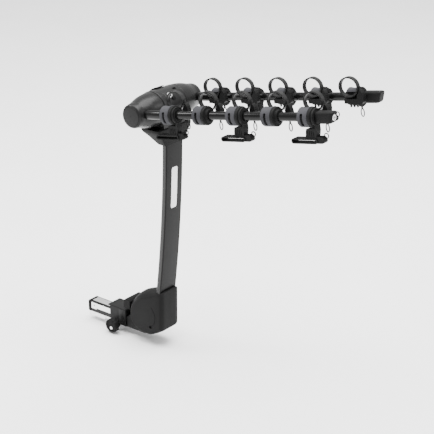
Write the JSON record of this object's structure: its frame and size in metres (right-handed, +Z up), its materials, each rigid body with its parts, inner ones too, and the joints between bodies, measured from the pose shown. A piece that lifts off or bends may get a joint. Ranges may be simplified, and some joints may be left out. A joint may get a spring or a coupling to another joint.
{
  "type": "hitch mounted bike rack",
  "caption": "Folding hitch rack that hangs bikes from two padded arms on a curved tilting mast, with strap cradles and sway cages.",
  "frame": {"origin": "centre of the receiver shank's tip face", "axes": "+X from the vehicle to the rear along the shank, +Y to the side, +Z up"},
  "size_m": [1.3074, 0.377, 1.2629],
  "materials": {
    "gloss_black": "gloss black powder coat",
    "mast_paint": "satin black powder coat",
    "satin_black": "satin black coat",
    "black_plastic": "fine moulded texture",
    "hub_plastic": "satin moulded",
    "grey_rubber": "matte grey",
    "strap_rubber": "satin black, ribbed",
    "cage_rubber": "matte black",
    "silver_steel": "bright plated",
    "zinc_steel": "zinc plated",
    "lock_chrome": "polished"
  },
  "bodies": {
    "base": {"hitch_shank": "gloss_black", "shank_end_plug": "black_plastic", "shank_side_plate": "silver_steel", "shank_lower_channel": "silver_steel", "receiver_stirrup": "satin_black", "base_fork": "satin_black", "tilt_pivot_bolt": "zinc_steel"},
    "stirrup_knob": {"stirrup_knob": "black_plastic"},
    "tilt_release_lever": {"tilt_release_lever": "black_plastic"},
    "mast": {"mast_tube": "mast_paint", "housing_near": "black_plastic", "housing_far": "black_plastic", "hub_yoke": "black_plastic", "hub_drum": "hub_plastic", "hub_shaft": "zinc_steel"},
    "fold_release_lever": {"fold_release_lever": "black_plastic"},
    "arms": {"hub_cone_near": "hub_plastic", "hub_cap_near": "hub_plastic", "arm_near": "gloss_black", "arm_cap_near": "black_plastic", "cradle_near_1": "black_plastic", "pad_near_1": "grey_rubber", "strap_near_1": "strap_rubber", "cradle_near_2": "black_plastic", "pad_near_2": "grey_rubber", "strap_near_2": "strap_rubber", "cradle_near_3": "black_plastic", "pad_near_3": "grey_rubber", "strap_near_3": "strap_rubber", "cradle_near_4": "black_plastic", "pad_near_4": "grey_rubber", "strap_near_4": "strap_rubber", "cradle_near_5": "black_plastic", "pad_near_5": "grey_rubber", "strap_near_5": "strap_rubber", "hub_cone_far": "hub_plastic", "hub_cap_far": "hub_plastic", "arm_far": "gloss_black", "arm_cap_far": "black_plastic", "cradle_far_1": "black_plastic", "pad_far_1": "grey_rubber", "strap_far_1": "strap_rubber", "cradle_far_2": "black_plastic", "pad_far_2": "grey_rubber", "strap_far_2": "strap_rubber", "cradle_far_3": "black_plastic", "pad_far_3": "grey_rubber", "strap_far_3": "strap_rubber", "cradle_far_4": "black_plastic", "pad_far_4": "grey_rubber", "strap_far_4": "strap_rubber", "cradle_far_5": "black_plastic", "pad_far_5": "grey_rubber", "strap_far_5": "strap_rubber"},
    "arm_lock_core": {"arm_lock_core": "lock_chrome"},
    "sway_cage_near_1": {"sway_cage_near_1": "cage_rubber"},
    "sway_cage_near_3": {"sway_cage_near_3": "cage_rubber"},
    "sway_cage_near_5": {"sway_cage_near_5": "cage_rubber"},
    "sway_cage_far_2": {"sway_cage_far_2": "cage_rubber"},
    "sway_cage_far_4": {"sway_cage_far_4": "cage_rubber"}
  },
  "joints": [
    {"name": "mast_tilt", "type": "hinge", "parent": "base", "child": "mast", "pos_m": [0.35, 0, 0.07], "axis": [0, 1, 0], "range_deg": [0, 40]},
    {"name": "stirrup_knob_turn", "type": "hinge", "parent": "base", "child": "stirrup_knob", "pos_m": [0.174, -0.038, -0.029], "axis": [0, 1, 0], "continuous": true},
    {"name": "tilt_lever_lift", "type": "hinge", "parent": "mast", "child": "tilt_release_lever", "pos_m": [0.285, 0, 0.08], "axis": [0, 1, 0], "range_deg": [0, 15], "stiffness_Nm_per_rad": 0.8, "springref_deg": -11.46},
    {"name": "fold_lever_pull", "type": "hinge", "parent": "mast", "child": "fold_release_lever", "pos_m": [0.34712, 0, 0.98285], "axis": [0, -1, 0], "range_deg": [0, 25], "stiffness_Nm_per_rad": 0.4, "springref_deg": -11.46},
    {"name": "arm_fold", "type": "hinge", "parent": "mast", "child": "arms", "pos_m": [0.42, 0, 0.97], "axis": [0, 1, 0], "range_deg": [0, 100]},
    {"name": "lock_core_turn", "type": "hinge", "parent": "arms", "child": "arm_lock_core", "pos_m": [1.30562, -0.1505, 1.13574], "axis": [0.9829, 0, 0.1839], "range_deg": [0, 90]},
    {"name": "sway_near_1", "type": "hinge", "parent": "arms", "child": "sway_cage_near_1", "pos_m": [0.58612, -0.1505, 1.00109], "axis": [0.9829, 0, 0.1839], "range_deg": [-18, 18]},
    {"name": "sway_near_3", "type": "hinge", "parent": "arms", "child": "sway_cage_near_3", "pos_m": [0.89377, -0.1505, 1.05866], "axis": [0.9829, 0, 0.1839], "range_deg": [-18, 18]},
    {"name": "sway_near_5", "type": "hinge", "parent": "arms", "child": "sway_cage_near_5", "pos_m": [1.20143, -0.1505, 1.11624], "axis": [0.9829, 0, 0.1839], "range_deg": [-18, 18]},
    {"name": "sway_far_2", "type": "hinge", "parent": "arms", "child": "sway_cage_far_2", "pos_m": [0.73995, 0.1505, 1.02988], "axis": [0.9829, 0, 0.1839], "range_deg": [-18, 18]},
    {"name": "sway_far_4", "type": "hinge", "parent": "arms", "child": "sway_cage_far_4", "pos_m": [1.0476, 0.1505, 1.08745], "axis": [0.9829, 0, 0.1839], "range_deg": [-18, 18]}
  ]
}
